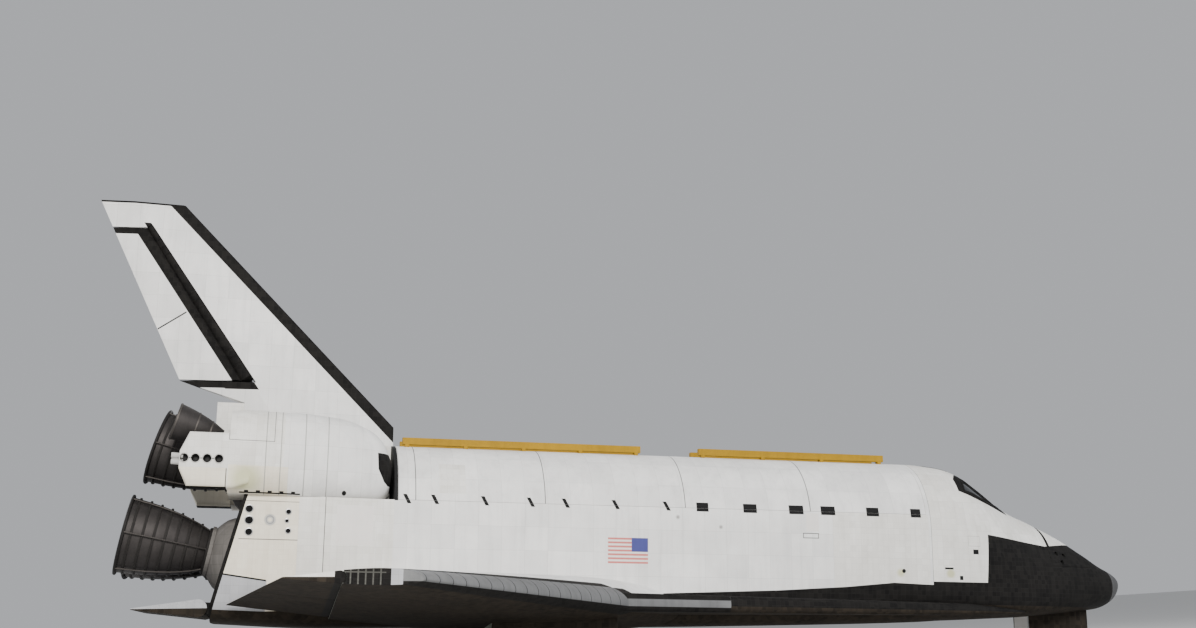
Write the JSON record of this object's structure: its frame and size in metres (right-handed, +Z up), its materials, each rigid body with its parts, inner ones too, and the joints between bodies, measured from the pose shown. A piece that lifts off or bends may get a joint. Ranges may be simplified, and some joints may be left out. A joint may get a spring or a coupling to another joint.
{
  "type": "delta-winged spaceplane orbiter",
  "caption": "Reusable delta-winged orbiter parked on its landing gear, with opening payload bay doors, elevons, body flap, split rudder, crew hatch and steerable nose wheels.",
  "frame": {"origin": "on the ground under the middle of the vehicle's box, on its centreline", "axes": "+X forward toward the nose, +Y to port, +Z up, with the body pitched 4 degrees nose-down on its gear"},
  "size_m": [36.2914, 23.7744, 17.399],
  "materials": {
    "tile_white": "matt coated silica tiles",
    "blanket": "quilted white thermal blankets",
    "tile_black": "black glass-coated tiles, worn grey",
    "carbon": "grey reinforced carbon",
    "metal": "machined",
    "nozzle": "heat-stained tube wall",
    "gear_paint": "satin grey",
    "tyre": "black rubber",
    "glass": "dark window glass",
    "beam_paint": "yellow enamel",
    "cabin": "grey interior paint"
  },
  "bodies": {
    "airframe": {"nose_cap": "carbon", "forward_fuselage": "tile_white", "forward_thruster_module": "tile_white", "windshield": "glass", "overhead_windows": "glass", "flight_deck": "cabin", "mid_fuselage": "tile_white", "aft_fuselage": "tile_white", "fin": "tile_white", "drag_chute_housing": "tile_white", "main_engine_top": "nozzle", "main_engine_left": "nozzle", "main_engine_right": "nozzle", "nose_gear_strut": "gear_paint", "nose_gear_brace": "gear_paint", "wing_left": "tile_white", "leading_edge_left": "carbon", "engine_pod_left": "blanket", "pod_engine_left": "nozzle", "main_gear_strut_left": "gear_paint", "main_gear_brace_left": "gear_paint", "main_gear_door_left": "tile_black", "nose_gear_door_left": "tile_black", "wing_right": "tile_white", "leading_edge_right": "carbon", "engine_pod_right": "blanket", "pod_engine_right": "nozzle", "main_gear_strut_right": "gear_paint", "main_gear_brace_right": "gear_paint", "main_gear_door_right": "tile_black", "nose_gear_door_right": "tile_black"},
    "payload_door_left": {"payload_door_left": "blanket", "door_beam_forward_left": "beam_paint", "door_beam_aft_left": "beam_paint"},
    "payload_door_right": {"payload_door_right": "blanket", "door_beam_forward_right": "beam_paint", "door_beam_aft_right": "beam_paint"},
    "elevon_inboard_left": {"elevon_inboard_left": "tile_white"},
    "elevon_outboard_left": {"elevon_outboard_left": "tile_white"},
    "elevon_inboard_right": {"elevon_inboard_right": "tile_white"},
    "elevon_outboard_right": {"elevon_outboard_right": "tile_white"},
    "body_flap": {"body_flap": "tile_black"},
    "rudder": {"rudder_torque_tube": "tile_black"},
    "rudder_panel_left": {"rudder_panel_left": "blanket"},
    "rudder_panel_right": {"rudder_panel_right": "blanket"},
    "crew_hatch": {"crew_hatch": "tile_white"},
    "nose_steering": {"nose_gear_piston": "gear_paint"},
    "nose_wheels": {"nose_wheel_hubs": "metal", "nose_tyre_left": "tyre", "nose_tyre_right": "tyre"},
    "main_wheels_left": {"main_wheel_hubs_left": "metal", "main_tyre_inner_left": "tyre", "main_tyre_outer_left": "tyre"},
    "main_wheels_right": {"main_wheel_hubs_right": "metal", "main_tyre_inner_right": "tyre", "main_tyre_outer_right": "tyre"}
  },
  "joints": [
    {"name": "payload_door_left", "type": "hinge", "parent": "airframe", "child": "payload_door_left", "pos_m": [0.42125, 2.58064, 6.02417], "axis": [-0.9976, 0, 0.0698], "range_deg": [0, 175.5]},
    {"name": "payload_door_right", "type": "hinge", "parent": "airframe", "child": "payload_door_right", "pos_m": [0.42125, -2.58064, 6.02417], "axis": [0.9976, 0, -0.0698], "range_deg": [0, 175.5]},
    {"name": "elevon_inboard_left", "type": "hinge", "parent": "airframe", "child": "elevon_inboard_left", "pos_m": [-11.10253, 5.5372, 3.62574], "axis": [0.0037, 0.9986, 0.0523], "range_deg": [-20, 35]},
    {"name": "elevon_outboard_left", "type": "hinge", "parent": "airframe", "child": "elevon_outboard_left", "pos_m": [-11.08662, 9.8806, 3.8532], "axis": [0.0037, 0.9986, 0.0523], "range_deg": [-20, 35]},
    {"name": "elevon_inboard_right", "type": "hinge", "parent": "airframe", "child": "elevon_inboard_right", "pos_m": [-11.10253, -5.5372, 3.62574], "axis": [-0.0037, 0.9986, -0.0523], "range_deg": [-20, 35]},
    {"name": "elevon_outboard_right", "type": "hinge", "parent": "airframe", "child": "elevon_outboard_right", "pos_m": [-11.08662, -9.8806, 3.8532], "axis": [-0.0037, 0.9986, -0.0523], "range_deg": [-20, 35]},
    {"name": "body_flap", "type": "hinge", "parent": "airframe", "child": "body_flap", "pos_m": [-14.89767, 0, 3.60708], "axis": [0, 1, 0], "range_deg": [-22.5, 11.7]},
    {"name": "rudder", "type": "hinge", "parent": "airframe", "child": "rudder", "pos_m": [-13.29305, 0, 11.00617], "axis": [-0.5123, 0, 0.8588], "range_deg": [-27.1, 27.1]},
    {"name": "speed_brake_left", "type": "hinge", "parent": "rudder", "child": "rudder_panel_left", "pos_m": [-13.29305, 0, 11.00617], "axis": [0.5123, 0, -0.8588], "range_deg": [0, 49.3]},
    {"name": "speed_brake_right", "type": "hinge", "parent": "rudder", "child": "rudder_panel_right", "pos_m": [-13.29305, 0, 11.00617], "axis": [-0.5123, 0, 0.8588], "range_deg": [0, 49.3]},
    {"name": "crew_hatch", "type": "hinge", "parent": "airframe", "child": "crew_hatch", "pos_m": [10.86765, 2.5654, 3.575], "axis": [-0.9976, 0, 0.0698], "range_deg": [0, 90]},
    {"name": "nose_steering", "type": "hinge", "parent": "airframe", "child": "nose_steering", "pos_m": [14.389, 0, 0.4064], "axis": [0.0698, 0, 0.9976], "range_deg": [-10, 10]},
    {"name": "nose_wheels", "type": "hinge", "parent": "nose_steering", "child": "nose_wheels", "pos_m": [14.389, 0, 0.4064], "axis": [0, 1, 0], "continuous": true},
    {"name": "main_wheels_left", "type": "hinge", "parent": "airframe", "child": "main_wheels_left", "pos_m": [-5.84221, 3.4544, 0.56515], "axis": [0, 1, 0], "continuous": true},
    {"name": "main_wheels_right", "type": "hinge", "parent": "airframe", "child": "main_wheels_right", "pos_m": [-5.84221, -3.4544, 0.56515], "axis": [0, 1, 0], "continuous": true}
  ],
  "couplings": [
    {"joint": "speed_brake_right", "follows": "speed_brake_left", "ratio": 1}
  ]
}
